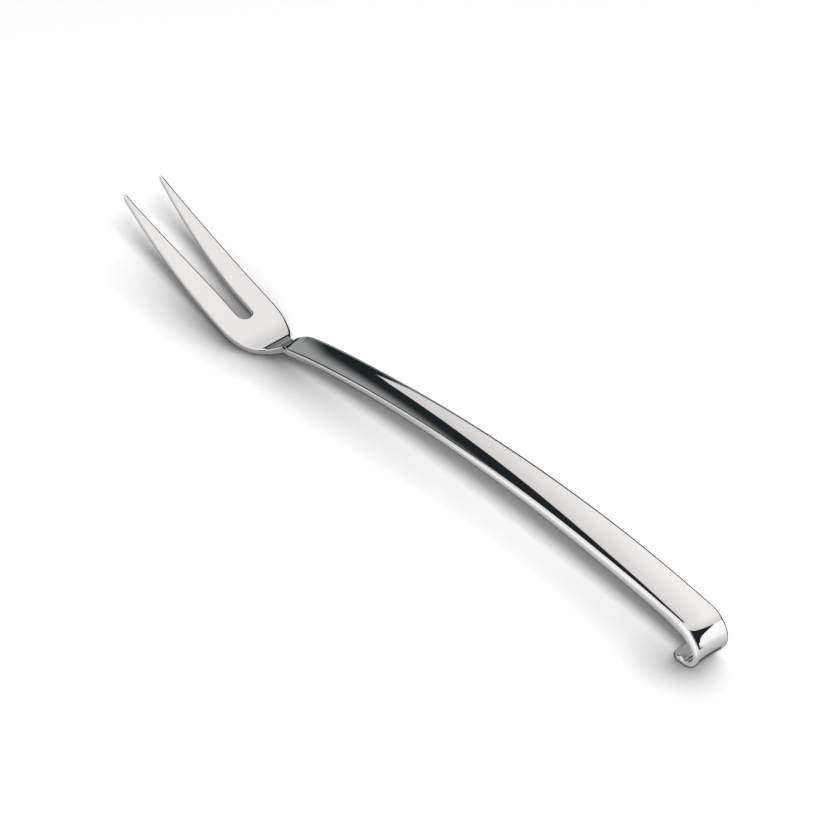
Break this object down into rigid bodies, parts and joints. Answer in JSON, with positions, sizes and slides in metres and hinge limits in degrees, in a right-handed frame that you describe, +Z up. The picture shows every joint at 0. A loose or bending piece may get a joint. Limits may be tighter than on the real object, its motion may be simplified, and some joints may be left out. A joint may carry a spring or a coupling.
{
  "type": "serving fork",
  "caption": "Polished serving fork with long upswept tines and an arched strap handle that ends in a curled-under hook, which hangs on a rail or rests on a bowl's rim.",
  "frame": {"origin": "on the table under the middle of the fork's length and width, with the fork lying on its heel and its hook", "axes": "+X along the fork from the tines to the hook, +Y to the fork's left as seen from above with the tines pointing away from the viewer, +Z up from the table"},
  "size_m": [0.2796, 0.0224, 0.029],
  "materials": {
    "head_steel": "mirror-polished stainless steel with fine wiping scratches",
    "handle_steel": "mirror-polished stainless steel with fine wiping scratches"
  },
  "bodies": {
    "root": {"tine_head": "head_steel", "handle": "handle_steel"}
  },
  "joints": []
}
